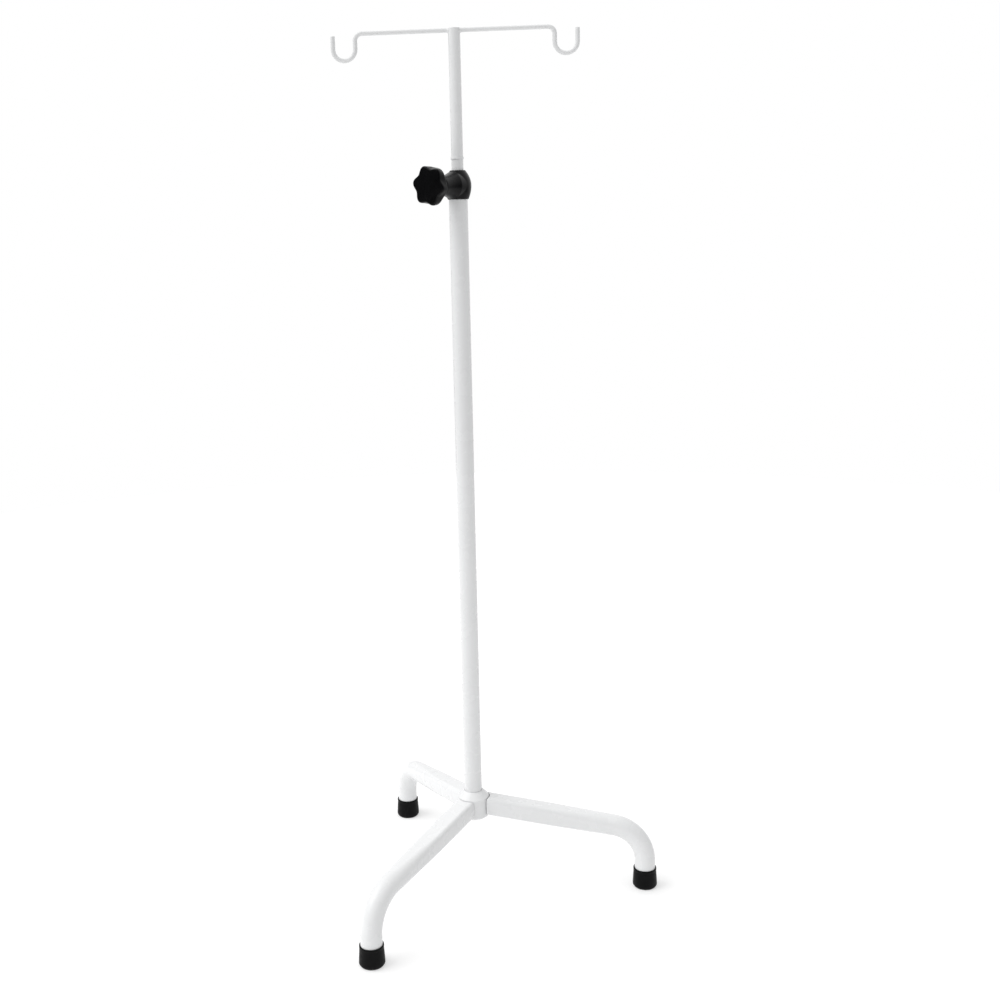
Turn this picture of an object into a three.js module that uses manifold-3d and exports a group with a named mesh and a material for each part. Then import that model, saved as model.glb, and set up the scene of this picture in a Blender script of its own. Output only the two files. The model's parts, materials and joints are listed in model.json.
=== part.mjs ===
// Height-adjustable drip stand on three bent legs.
// Units are millimetres and +Z is up. The origin is on the floor, at the middle of the object's bounding
// box. The pole stands a little to its left, because the right foot reaches further than the left hook.

import * as THREE from 'three';
import { mergeVertices } from 'three/addons/utils/BufferGeometryUtils.js';
import Module from 'manifold-3d';

const wasm = await Module();
wasm.setup();

// ---------------------------------------------------------------- driving dimensions

const deg = Math.PI / 180;
const gap = 0.3; // between pieces that are fixed together

// base
const footCircleRadius = 252; // pole axis to foot axis
const legNames = ['right', 'back', 'front'];
const legStep = 120 * deg;
const armHeightAtPole = 131; // arm centre line, carried on to the pole axis
const kneeHeight = 87.5; // arm centre line, carried on to the foot axis
const bendRadius = 55;
const legRadius = 15;
const legWall = 1.5;
const armWidth = 28; // flat-sided section at the hub
const armDepth = 26;
const armCorner = 5;
const flatEnd = 110; // distance from the pole where the flat-sided section starts to turn round
const legSides = 20;
const flatSteps = 4; // steps across the flat top and bottom, so that a cut end fits round the hub

const screwFromHub = 10.6; // leg screw, out from the hub's side
const screwRadius = 2.4;
const screwHeadRadius = 4.8;
const screwHeadHeight = 1.5;
const screwLength = 13;
const screwHole = 2.7;

// rubber feet
const footHeight = 29.5;
const footTopRadius = 16.3;
const footBottomRadius = 17.9;
const footFloor = 5;
const footEdge = 3;
const footRim = 0.5; // the lip round the top stands out by this much
const footWasherThickness = 1.5;
const footWasherBore = 4;

// hub
const hubRadius = 22.9; // the legs' ends are cut to fit round it
const seam = 1.2; // open joint between the hub and a leg's end
const hubBottom = 110;
const hubShoulder = 140.5; // where the cone up to the pole starts
const hubTop = 150;
const hubTopRadius = 13.6;
const hubFoot = 2.5; // chamfer round the bottom edge
const hubFloorBottom = 119;
const hubFloorTop = 125;
const boltPocketRadius = 11.5;
const spigotLength = 26;
const spigotRoot = 3; // how far a spigot runs into the hub
const boltRadius = 4; // M8
const boltHole = 4.6;
const boltHeadRadius = 7.5;
const boltHeadHeight = 5;
const boltReach = 16; // into the pole, past the hub's floor
const boltWasherRadius = 9;
const boltWasherThickness = 1.6;
const basePlugHeight = 20;

// pole
const outerRadius = 12.7;
const outerBore = 11.5;
const outerTop = 1040;
const innerRadius = 8;
const innerBore = 6.8;
const innerBottom = 193.3;
const tubeSides = 32;
const mastSides = 24;
const stopRingLow = 1060.5; // 14.3 mm above the collar, so the mast goes 14 mm down
const stopRingHeight = 3;
const stopRingRadius = 8.9;
const bushHeight = 30;
const endPlugRadius = 10;
const endPlugFlange = 3;
const endPlugHeight = 15;

// clamp
const clampHeight = 1026; // height of the knob's axis
const clampTurn = -125 * deg; // direction of the knob's axis
const collarBelow = 18.5;
const collarAbove = 20.2;
const collarMidRadius = 18.3;
const collarBottomRadius = 14;
const collarTopRadius = 10.2;
const collarGuideBore = 8.3;
const bossRadius = 13.8;
const bossEnd = 39;
const bossFlare = 18.2; // the boss's radius where it leaves the barrel
const flareEnd = 33; // where the flare has run out, from the pole's axis
const studRadius = 4; // M8
const studWay = 4.7;
const insertRadius = 7;
const insertStart = 22;
const collarScrewDrop = 10; // below the knob's axis
const collarScrewRadius = 1.6;
const collarScrewHead = 3.6;
const collarScrewSeat = 16.1; // its head's underside, from the pole's axis
const knobBack = 41.5;
const knobFace = 64;
const knobRim = 12; // depth of the lobed rim
const knobNeck = 12; // radius of the neck behind the rim
const knobFaceRadius = 24.3; // mean radius of the rim at its face, and at its back
const knobBackRadius = 25.5;
const lobes = 6;
const lobeTurn = 19 * deg;
const lobeHeight = 2.4; // at the face; the flutes run out towards the back
const lobeBackHeight = 0.8;
const knobSocket = 6; // plastic left between the stud's end and the face
const padRadius = 3.4;
const padTip = 8.15;
const padEnd = 13.1;

// hook bar
const barHeight = 1228;
const rodRadius = 3;
const hookInner = 133; // pole axis to a hook's inner limb
const hookRadius = 15;
const hookBend = 9;
const hookBottom = 1193.5;
const hookTip = 1226;

// ---------------------------------------------------------------- helpers

function signedVolume({ attributes, index }) {
  const point = (i) => new THREE.Vector3().fromBufferAttribute(attributes.position, index.getX(i));
  let sum = 0;
  for (let i = 0; i < index.count; i += 3) sum += point(i).dot(point(i + 1).cross(point(i + 2))) / 6;
  return sum;
}

// merges shared vertices and makes every face point out
function tidy(geometry) {
  const bare = geometry.index ? geometry.toNonIndexed() : geometry.clone();
  bare.deleteAttribute('normal');
  bare.deleteAttribute('uv');
  const merged = mergeVertices(bare, 1e-4);
  if (signedVolume(merged) < 0) merged.index.array.reverse();
  return merged;
}

function solid(geometry) {
  const merged = tidy(geometry);
  return new wasm.Manifold(new wasm.Mesh({
    numProp: 3,
    vertProperties: new Float32Array(merged.attributes.position.array),
    triVerts: new Uint32Array(merged.index.array),
  }));
}

function shape(manifold) {
  const mesh = manifold.getMesh();
  const geometry = new THREE.BufferGeometry();
  geometry.setAttribute('position', new THREE.BufferAttribute(mesh.vertProperties, 3));
  geometry.setIndex(new THREE.BufferAttribute(mesh.triVerts, 1));
  geometry.computeVertexNormals();
  return geometry;
}

function placed(geometry, matrix) {
  return geometry.clone().applyMatrix4(matrix);
}

// a body of revolution about Z; the profile is a closed loop of [radius, height]
function turned(profile, sides) {
  const points = profile.map(([r, z]) => new THREE.Vector2(r, z));
  points.push(points[0].clone());
  return tidy(new THREE.LatheGeometry(points, sides).rotateX(Math.PI / 2));
}

function ring(inner, outer, low, high, sides) {
  return turned([[inner, low], [outer, low], [outer, high], [inner, high]], sides);
}

function rod(radius, low, high, sides) {
  const geometry = new THREE.CylinderGeometry(radius, radius, high - low, sides);
  return geometry.rotateX(Math.PI / 2).translate(0, 0, (low + high) / 2);
}

// turns a body made along +Z so that it lies along the knob's axis, from the pole outwards
const alongClamp = new THREE.Matrix4()
  .makeRotationZ(clampTurn)
  .setPosition(0, 0, clampHeight)
  .multiply(new THREE.Matrix4().makeRotationY(Math.PI / 2));

// the same for the screw that holds the collar, on the far side and lower down
const collarScrewFrame = new THREE.Matrix4().makeTranslation(0, 0, -collarScrewDrop).multiply(alongClamp);

// a section with flat sides and round corners, which is a circle when it is as wide as its corners
function section(width, depth, corner) {
  const cornerPoint = (i) => {
    const turn = ((i + 0.5) / legSides) * 2 * Math.PI;
    return {
      across: Math.sign(Math.cos(turn)) * (width / 2 - corner) + corner * Math.cos(turn),
      up: Math.sign(Math.sin(turn)) * (depth / 2 - corner) + corner * Math.sin(turn),
    };
  };
  const points = [];
  for (let i = 0; i < legSides; i++) {
    const here = cornerPoint(i);
    points.push(here);
    const beforeFlat = (i + 1) % (legSides / 2) === legSides / 4;
    for (let k = 1; beforeFlat && k < flatSteps; k++) {
      const reach = cornerPoint(i + 1).across - here.across;
      points.push({ across: here.across + (reach * k) / flatSteps, up: here.up });
    }
  }
  return points;
}

// skins rings of points; a hollow body's last ring joins its first, and a solid one is capped
function skinned(rings, hollow) {
  const sides = rings[0].length;
  const position = rings.flat().flatMap((p) => [p.x, p.y, p.z]);
  const index = [];
  const spans = hollow ? rings.length : rings.length - 1;
  for (let r = 0; r < spans; r++) {
    const here = r * sides;
    const next = ((r + 1) % rings.length) * sides;
    for (let i = 0; i < sides; i++) {
      const j = (i + 1) % sides;
      index.push(here + i, here + j, next + j, here + i, next + j, next + i);
    }
  }
  if (!hollow) {
    const last = (rings.length - 1) * sides;
    for (let i = 1; i < sides - 1; i++) {
      index.push(0, i + 1, i, last, last + i, last + i + 1);
    }
  }
  const geometry = new THREE.BufferGeometry();
  geometry.setAttribute('position', new THREE.Float32BufferAttribute(position, 3));
  geometry.setIndex(index);
  return tidy(geometry);
}

// ---------------------------------------------------------------- materials

const powderCoat = () =>
  new THREE.MeshStandardMaterial({ color: 0xf1f2f4, roughness: 0.35, metalness: 0.1 });
const blackPlastic = () => new THREE.MeshStandardMaterial({ color: 0x15151a, roughness: 0.4, metalness: 0 });
const blackRubber = () => new THREE.MeshStandardMaterial({ color: 0x0d0d0d, roughness: 0.75, metalness: 0 });
const zincSteel = () => new THREE.MeshStandardMaterial({ color: 0xb9bcc0, roughness: 0.3, metalness: 1 });
const brass = () => new THREE.MeshStandardMaterial({ color: 0xc9a352, roughness: 0.35, metalness: 1 });
const nylon = () => new THREE.MeshStandardMaterial({ color: 0xe7e3d6, roughness: 0.55, metalness: 0 });

// ---------------------------------------------------------------- leg geometry, in the X-Z plane

const armSlope = Math.atan2(armHeightAtPole - kneeHeight, footCircleRadius);
const bendAngle = Math.PI / 2 - armSlope;
const bendTangent = bendRadius * Math.tan(bendAngle / 2);
const bendStart = footCircleRadius - bendTangent * Math.cos(armSlope);
const bendCentre = { x: footCircleRadius - bendRadius, z: kneeHeight - bendTangent };
const legBottom = footFloor + footWasherThickness + 2 * gap;

function armCentre(x) {
  return armHeightAtPole - x * Math.tan(armSlope);
}

// one station of the leg: where its centre is, how far it has turned down, and its section
function station(x, z, slope, roundness, inset) {
  const mix = (flat, round) => flat + (round - flat) * roundness;
  const width = mix(armWidth, 2 * legRadius) - 2 * inset;
  const depth = mix(armDepth, 2 * legRadius) - 2 * inset;
  const corner = mix(armCorner, legRadius) - inset;
  return section(width, depth, corner).map(({ across, up }) =>
    new THREE.Vector3(x + up * Math.sin(slope), -across, z + up * Math.cos(slope)));
}

// slides each point of a ring along the arm until it is at a distance from the pole's axis
function cutRound(points, distance) {
  return points.map((p) => {
    const x = Math.sqrt(distance ** 2 - p.y ** 2);
    return new THREE.Vector3(x, p.y, p.z - (x - p.x) * Math.tan(armSlope));
  });
}

function legStations(inset) {
  const start = hubRadius + seam;
  const rings = [cutRound(station(start, armCentre(start), armSlope, 0, inset), start)];
  const steps = 4;
  for (let i = 0; i <= steps; i++) {
    const x = flatEnd + (bendStart - flatEnd) * (i / steps);
    rings.push(station(x, armCentre(x), armSlope, i / steps, inset));
  }
  const bendSteps = 8;
  for (let i = 1; i <= bendSteps; i++) {
    const slope = armSlope + bendAngle * (i / bendSteps);
    const x = bendCentre.x + bendRadius * Math.sin(slope);
    const z = bendCentre.z + bendRadius * Math.cos(slope);
    rings.push(station(x, z, slope, 1, inset));
  }
  rings.push(station(footCircleRadius, legBottom, Math.PI / 2, 1, inset));
  return rings;
}

// a screw's own frame: square to the arm's underside, pointing down, with 0 on the underside
const screwAt = hubRadius + screwFromHub;
const screwFrame = new THREE.Matrix4()
  .makeTranslation(screwAt, 0, armCentre(screwAt))
  .multiply(new THREE.Matrix4().makeRotationY(armSlope))
  .multiply(new THREE.Matrix4().makeTranslation(0, 0, -armDepth / 2))
  .multiply(new THREE.Matrix4().makeRotationX(Math.PI));

function leg() {
  const skin = skinned([...legStations(0), ...legStations(legWall).reverse()], true);
  const hole = placed(rod(screwRadius + 0.8, -legWall - 3, 3, 12), screwFrame);
  return shape(solid(skin).subtract(solid(hole)));
}

function legScrew() {
  const profile = [
    [0, -screwLength],
    [screwRadius, -screwLength],
    [screwRadius, gap],
    [screwHeadRadius, gap],
    [screwHeadRadius - 0.8, screwHeadHeight - 0.3],
    [screwHeadRadius - 2, screwHeadHeight],
    [0, screwHeadHeight],
  ];
  return placed(turned(profile, 16), screwFrame);
}

// ---------------------------------------------------------------- feet

function foot() {
  const bore = legRadius + 0.25;
  const profile = [
    [0, 0],
    [footBottomRadius - footEdge, 0],
    [footBottomRadius - footEdge * 0.3, footEdge * 0.3],
    [footBottomRadius, footEdge],
    [footBottomRadius - 0.1, footEdge + 5],
    [footTopRadius + footRim, footHeight - 2.6],
    [footTopRadius + footRim, footHeight - 0.7],
    [footTopRadius, footHeight],
    [bore, footHeight],
    [bore, footFloor],
    [0, footFloor],
  ];
  return turned(profile, 24);
}

function footWasher() {
  const low = footFloor + gap / 2;
  return ring(footWasherBore, legRadius - 1, low, low + footWasherThickness, 20);
}

// ---------------------------------------------------------------- hub and pole fixing

function spigot() {
  const inset = legWall + gap;
  const root = hubRadius - spigotRoot;
  const tip = hubRadius + spigotLength;
  const start = cutRound(station(root, armCentre(root), armSlope, 0, inset), root);
  return skinned([start, station(tip, armCentre(tip), armSlope, 0, inset)], false);
}

function hub() {
  let body = solid(turned([
    [0, hubBottom],
    [hubRadius - hubFoot, hubBottom],
    [hubRadius, hubBottom + hubFoot],
    [hubRadius, hubShoulder],
    [hubTopRadius, hubTop],
    [0, hubTop],
  ], 48));
  for (let i = 0; i < 3; i++) {
    const turn = new THREE.Matrix4().makeRotationZ(i * legStep);
    body = body.add(solid(placed(spigot(), turn)));
    const hole = placed(rod(screwHole, -screwLength - 3, 4, 12), screwFrame.clone().premultiply(turn));
    body = body.subtract(solid(hole));
  }
  return shape(body
    .subtract(solid(rod(outerRadius + gap, hubFloorTop, hubTop + 1, tubeSides)))
    .subtract(solid(rod(boltPocketRadius, hubBottom - 1, hubFloorBottom, 24)))
    .subtract(solid(rod(boltHole, hubFloorBottom - 1, hubFloorTop + 1, 16))));
}

function hubCap() {
  const radius = boltPocketRadius - gap;
  return turned([
    [0, hubBottom - 1.5],
    [radius + 1.5, hubBottom - 1.5],
    [radius + 2, hubBottom - gap],
    [radius, hubBottom - gap],
    [radius, hubBottom + 2],
    [0, hubBottom + 2],
  ], 24);
}

const washerTop = hubFloorBottom - gap / 2;
const washerBottom = washerTop - boltWasherThickness;

function poleBolt() {
  const headTop = washerBottom - gap / 2;
  const head = rod(boltHeadRadius, headTop - boltHeadHeight, headTop, 6);
  return shape(solid(head).add(solid(rod(boltRadius, headTop - 1, hubFloorTop + boltReach, 16))));
}

function poleWasher() {
  return ring(boltRadius + gap, boltWasherRadius, washerBottom, washerTop, 20);
}

function poleBasePlug() {
  const low = hubFloorTop + 2 * gap;
  return ring(boltRadius + gap, outerBore - 0.2, low, hubFloorTop + basePlugHeight, tubeSides);
}

// ---------------------------------------------------------------- pole

function outerTube() {
  const tube = ring(outerBore, outerRadius, hubFloorTop + gap, outerTop, tubeSides);
  const studHole = placed(rod(studWay, 5, 20, 16), alongClamp);
  const pilot = placed(rod(collarScrewRadius + gap, -20, -5, 12), collarScrewFrame);
  return shape(solid(tube).subtract(solid(studHole)).subtract(solid(pilot)));
}

function innerTube() {
  const tube = ring(innerBore, innerRadius, innerBottom, barHeight + rodRadius, mastSides);
  const saddle = rod(rodRadius + gap, -20, 20, 12).rotateY(Math.PI / 2).translate(0, 0, barHeight);
  return shape(solid(tube).subtract(solid(saddle)));
}

function stopRing() {
  const bore = innerRadius + 0.1;
  const high = stopRingLow + stopRingHeight;
  return turned([
    [bore, stopRingLow],
    [stopRingRadius - 0.3, stopRingLow],
    [stopRingRadius, stopRingLow + 0.5],
    [stopRingRadius, high - 0.5],
    [stopRingRadius - 0.3, high],
    [bore, high],
  ], mastSides);
}

function glideBush() {
  const low = innerBottom + 3;
  const high = low + bushHeight;
  const bore = innerRadius + 0.15;
  const fit = outerBore - 0.15;
  return turned([
    [bore, low],
    [fit - 0.75, low],
    [fit, low + 2],
    [fit, high - 2],
    [fit - 0.75, high],
    [bore, high],
  ], tubeSides);
}

function mastEndPlug() {
  const low = innerBottom - gap - endPlugFlange;
  const fit = innerBore - 0.2;
  return turned([
    [0, low],
    [endPlugRadius - 0.8, low],
    [endPlugRadius, low + 0.8],
    [endPlugRadius, low + endPlugFlange],
    [fit, low + endPlugFlange],
    [fit, low + endPlugHeight],
    [0, low + endPlugHeight],
  ], mastSides);
}

function topPlug() {
  return rod(innerBore - 0.2, barHeight - rodRadius - 3, barHeight - rodRadius - gap, mastSides);
}

// ---------------------------------------------------------------- clamp

function collarOutline() {
  const points = [];
  const steps = 6;
  for (let i = 0; i <= steps; i++) {
    const t = (i / steps) * 2 - 1;
    const end = t < 0 ? collarBottomRadius : collarTopRadius;
    const reach = t < 0 ? collarBelow : collarAbove;
    points.push([collarMidRadius - (collarMidRadius - end) * t * t, t * reach]);
  }
  return points;
}

// the boss narrows in a hollow curve from the barrel to its straight end
function bossOutline() {
  const points = [];
  const steps = 5;
  for (let i = 0; i <= steps; i++) {
    const t = i / steps;
    const out = collarMidRadius - 5 + (flareEnd - collarMidRadius + 5) * t;
    points.push([bossRadius + (bossFlare - bossRadius) * (1 - t) ** 2, out]);
  }
  return [[bossFlare, 2], ...points, [bossRadius, bossEnd - 1.5], [bossRadius - 1.5, bossEnd]];
}

function clampCollar() {
  const barrel = turned([[0, -collarBelow], ...collarOutline(), [0, collarAbove]], 28)
    .translate(0, 0, clampHeight);
  const boss = placed(turned([[0, 2], ...bossOutline(), [0, bossEnd]], 28), alongClamp);
  const socket = rod(outerRadius + 0.2, clampHeight - collarBelow - 1, outerTop + gap, tubeSides);
  const guide = rod(collarGuideBore, outerTop - 1, clampHeight + collarAbove + 1, mastSides);
  const studBore = placed(rod(studWay, 5, bossEnd + 1, 16), alongClamp);
  const pocket = placed(rod(insertRadius + gap, insertStart - gap, bossEnd + 1, 20), alongClamp);
  const screwWay = placed(rod(collarScrewRadius + gap, -30, -5, 12), collarScrewFrame);
  const screwSeat = placed(rod(collarScrewHead + gap, -30, -collarScrewSeat + gap, 16), collarScrewFrame);
  return shape([socket, guide, studBore, pocket, screwWay, screwSeat]
    .reduce((body, cut) => body.subtract(solid(cut)), solid(barrel).add(solid(boss))));
}

function collarScrew() {
  const headTop = collarScrewSeat + 2.1;
  const tip = outerBore + gap;
  const profile = [
    [0, -headTop],
    [collarScrewHead - 1, -headTop],
    [collarScrewHead, 0.8 - headTop],
    [collarScrewHead, -collarScrewSeat],
    [collarScrewRadius, -collarScrewSeat],
    [collarScrewRadius, -tip],
    [0, -tip],
  ];
  return placed(turned(profile, 12), collarScrewFrame);
}

function threadedInsert() {
  return placed(ring(studRadius + 0.25, insertRadius, insertStart, bossEnd - 0.2, 20), alongClamp);
}

function pressurePad() {
  const profile = [
    [0, padTip],
    [padRadius - 0.5, padTip],
    [padRadius, padTip + 0.5],
    [padRadius, padEnd],
    [0, padEnd],
  ];
  return placed(turned(profile, 16), alongClamp);
}

function knobStud() {
  return placed(rod(studRadius, padEnd + gap, knobFace - knobSocket - gap, 16), alongClamp);
}

function knobRing(height, mean, lobe) {
  const points = 48;
  return Array.from({ length: points }, (_, i) => {
    const turn = (i / points) * 2 * Math.PI;
    const reach = mean + lobe * Math.cos(lobes * (turn - lobeTurn));
    return new THREE.Vector3(reach * Math.cos(turn), reach * Math.sin(turn), height);
  });
}

function starKnob() {
  const rimBack = knobFace - knobRim;
  const rim = skinned([
    knobRing(knobFace, knobNeck, 0),
    knobRing(knobFace, knobFaceRadius - 2.5, lobeHeight),
    knobRing(knobFace - 0.9, knobFaceRadius - 0.8, lobeHeight),
    knobRing(knobFace - 3, knobFaceRadius, lobeHeight),
    knobRing(rimBack + 2.5, knobBackRadius, lobeBackHeight),
    knobRing(rimBack + 0.8, knobBackRadius - 0.8, lobeBackHeight),
    knobRing(rimBack, knobBackRadius - 2.5, lobeBackHeight),
    knobRing(rimBack, knobNeck, 0),
  ], false);
  const neck = turned([
    [0, knobBack],
    [knobNeck - 1, knobBack],
    [knobNeck, knobBack + 1],
    [knobNeck + 1, rimBack - 3],
    [knobNeck + 4, rimBack + 1],
    [0, rimBack + 1],
  ], 24);
  const hole = rod(studRadius + gap, knobBack - 1, knobFace - knobSocket, 16);
  return placed(shape(solid(rim).add(solid(neck)).subtract(solid(hole))), alongClamp);
}

// ---------------------------------------------------------------- hook bar

function arc(centreX, centreZ, radius, from, to) {
  const curve = new THREE.Curve();
  curve.getPoint = (t, target = new THREE.Vector3()) => {
    const turn = from + (to - from) * t;
    return target.set(centreX + radius * Math.cos(turn), 0, centreZ + radius * Math.sin(turn));
  };
  return curve;
}

function hookBar() {
  const at = (x, z) => new THREE.Vector3(x, 0, z);
  const hookOuter = hookInner + 2 * hookRadius;
  const hookMiddle = hookInner + hookRadius;
  const hookStart = hookBottom + hookRadius;
  const line = (a, b) => new THREE.LineCurve3(a, b);
  const path = new THREE.CurvePath();
  path.add(line(at(-hookOuter, hookTip), at(-hookOuter, hookStart)));
  path.add(arc(-hookMiddle, hookStart, hookRadius, Math.PI, 2 * Math.PI));
  path.add(line(at(-hookInner, hookStart), at(-hookInner, barHeight - hookBend)));
  path.add(arc(-hookInner + hookBend, barHeight - hookBend, hookBend, Math.PI, Math.PI / 2));
  path.add(line(at(-hookInner + hookBend, barHeight), at(hookInner - hookBend, barHeight)));
  path.add(arc(hookInner - hookBend, barHeight - hookBend, hookBend, Math.PI / 2, 0));
  path.add(line(at(hookInner, barHeight - hookBend), at(hookInner, hookStart)));
  path.add(arc(hookMiddle, hookStart, hookRadius, Math.PI, 2 * Math.PI));
  path.add(line(at(hookOuter, hookStart), at(hookOuter, hookTip)));
  const outline = new THREE.Shape();
  outline.absarc(0, 0, rodRadius, 0, 2 * Math.PI);
  return tidy(new THREE.ExtrudeGeometry(outline, { steps: 84, curveSegments: 5, extrudePath: path }));
}

// ---------------------------------------------------------------- assembly

const footReach = footCircleRadius + footBottomRadius;
const hookReach = hookInner + 2 * hookRadius + rodRadius;
const stand = new THREE.Group();
stand.position.x = (hookReach - footReach) / 2;

function addTo(group, name, geometry, material) {
  const mesh = new THREE.Mesh(geometry, material);
  mesh.name = name;
  group.add(mesh);
}

legNames.forEach((name, i) => {
  const side = new THREE.Group();
  side.rotation.z = i * legStep;
  stand.add(side);
  addTo(side, `leg_${name}`, leg(), powderCoat());
  addTo(side, `leg_screw_${name}`, legScrew(), zincSteel());
  const end = new THREE.Group();
  end.position.x = footCircleRadius;
  side.add(end);
  addTo(end, `foot_${name}`, foot(), blackRubber());
  addTo(end, `foot_washer_${name}`, footWasher(), zincSteel());
});

addTo(stand, 'hub', hub(), powderCoat());
addTo(stand, 'hub_cap', hubCap(), blackPlastic());
addTo(stand, 'pole_bolt', poleBolt(), zincSteel());
addTo(stand, 'pole_bolt_washer', poleWasher(), zincSteel());
addTo(stand, 'pole_base_plug', poleBasePlug(), zincSteel());
addTo(stand, 'outer_tube', outerTube(), powderCoat());

addTo(stand, 'clamp_collar', clampCollar(), blackPlastic());
addTo(stand, 'collar_screw', collarScrew(), zincSteel());
addTo(stand, 'threaded_insert', threadedInsert(), brass());
addTo(stand, 'pressure_pad', pressurePad(), nylon());
addTo(stand, 'knob_stud', knobStud(), zincSteel());
addTo(stand, 'star_knob', starKnob(), blackPlastic());

addTo(stand, 'glide_bush', glideBush(), nylon());
addTo(stand, 'inner_tube', innerTube(), powderCoat());
addTo(stand, 'mast_end_plug', mastEndPlug(), blackPlastic());
addTo(stand, 'stop_ring', stopRing(), powderCoat());
addTo(stand, 'top_plug', topPlug(), powderCoat());
addTo(stand, 'hook_bar', hookBar(), powderCoat());

export default stand;
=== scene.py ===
"""Looks of the drip stand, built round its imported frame.

Lengths are in metres. The pole's axis, the feet, the clamp's axis and the heights come from the frame's
nodes and joints; the sizes below are the ones that a node's box does not give.
"""
import json
import math

import bmesh
import bpy
from mathutils import Matrix, Vector


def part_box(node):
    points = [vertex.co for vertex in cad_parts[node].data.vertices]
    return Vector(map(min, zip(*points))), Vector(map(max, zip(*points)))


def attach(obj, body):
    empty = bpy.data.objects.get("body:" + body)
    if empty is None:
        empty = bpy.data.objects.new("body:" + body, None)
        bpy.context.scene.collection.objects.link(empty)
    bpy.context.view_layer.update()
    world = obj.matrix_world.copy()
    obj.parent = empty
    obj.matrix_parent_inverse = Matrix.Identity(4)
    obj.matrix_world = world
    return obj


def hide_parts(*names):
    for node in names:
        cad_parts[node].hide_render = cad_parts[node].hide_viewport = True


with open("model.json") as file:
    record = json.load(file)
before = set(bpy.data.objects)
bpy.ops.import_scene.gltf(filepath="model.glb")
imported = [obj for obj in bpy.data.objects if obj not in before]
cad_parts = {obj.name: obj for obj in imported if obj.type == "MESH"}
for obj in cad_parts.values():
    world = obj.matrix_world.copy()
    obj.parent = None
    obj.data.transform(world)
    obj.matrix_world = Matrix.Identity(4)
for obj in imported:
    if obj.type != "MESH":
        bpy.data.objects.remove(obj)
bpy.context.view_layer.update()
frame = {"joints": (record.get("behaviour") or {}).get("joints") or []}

MM = 0.001
TURN = 2 * math.pi
GAP = 0.3 * MM

# ---------------------------------------------------------------- places, from the frame


def middle(node):
    low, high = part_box(node)
    return (low + high) / 2


def bottom(node):
    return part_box(node)[0].z


def top(node):
    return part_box(node)[1].z


KNOB_JOINT = next(joint for joint in frame["joints"] if joint["name"] == "knob_turn")
POLE = Vector((middle("outer_tube").x, middle("outer_tube").y, 0))
CLAMP_CENTRE = Vector(KNOB_JOINT["pos_m"])
CLAMP_AXIS = Vector(KNOB_JOINT["axis"]).normalized()
FOOT_CIRCLE = (middle("foot_right") - POLE).xy.length  # radius of the feet's circle
LEG_TURNS = {"right": 0, "back": TURN / 3, "front": 2 * TURN / 3}

AT_POLE = Matrix.Translation(POLE)
AT_CLAMP = Matrix.Translation(CLAMP_CENTRE) @ CLAMP_AXIS.to_track_quat("Z", "X").to_matrix().to_4x4()

# ---------------------------------------------------------------- sizes

# base
ARM_AT_POLE = 131 * MM  # height of the arm's centre line, carried on to the pole's axis
KNEE = 87.5 * MM  # the same, carried on to the foot's axis
BEND_RADIUS = 55 * MM
LEG_RADIUS = 15 * MM
LEG_WALL = 1.5 * MM
ARM_WIDTH = 28 * MM
ARM_DEPTH = 26 * MM
ARM_CORNER = 5 * MM
FLAT_END = 110 * MM  # distance from the pole where the flat-sided section starts to turn round
LEG_BOTTOM = bottom("leg_right")
FOOT_HEIGHT = top("foot_right")
FOOT_TOP = 16.3 * MM
FOOT_RIM = 16.8 * MM
FOOT_BOTTOM = 17.9 * MM
FOOT_FLOOR = 5 * MM
FOOT_WASHER_BORE = 4 * MM
TREAD_RINGS = (4 * MM, 7.5 * MM, 11 * MM)
TREAD_DEPTH = 0.8 * MM

SCREW_FROM_HUB = 10.6 * MM
SCREW_LENGTH = 13 * MM
SCREW_RADIUS = 2.4 * MM
SCREW_HEAD = 4.8 * MM
SCREW_HEAD_HEIGHT = 1.5 * MM
SCREW_SOCKET = 3 * MM  # across flats
SCREW_HOLE = 2.7 * MM

# hub
HUB_RADIUS = 22.9 * MM
HUB_CAP_DEPTH = 1.5 * MM  # how far the cap over the bolt stands below the hub
HUB_BOTTOM = bottom("hub_cap") + HUB_CAP_DEPTH
HUB_SHOULDER = 140.5 * MM
HUB_TOP = top("hub")
HUB_TOP_RADIUS = 13.6 * MM
HUB_ROUND = 4 * MM  # rounding of the bottom edge
HUB_FLOOR_BOTTOM = 119 * MM
HUB_FLOOR_TOP = 125 * MM
BOLT = 4 * MM
BOLT_HEAD = 5 * MM
BOLT_ACROSS_FLATS = 13 * MM
BOLT_HOLE = 4.6 * MM
BOLT_POCKET = 11.5 * MM
WASHER_BORE = 4.3 * MM
WASHER = 9 * MM
SEAM = 1.2 * MM  # the open joint round a leg's end
LEG_END_EDGE = 0.5 * MM
SPIGOT = 26 * MM
SPIGOT_ROOT = 3 * MM  # how far it starts inside the hub
SPIGOT_UNDERCUT = 2.2 * MM

# pole and mast
TUBE = 12.7 * MM
TUBE_BORE = 11.5 * MM
MAST = 8 * MM
MAST_BORE = 6.8 * MM

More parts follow.
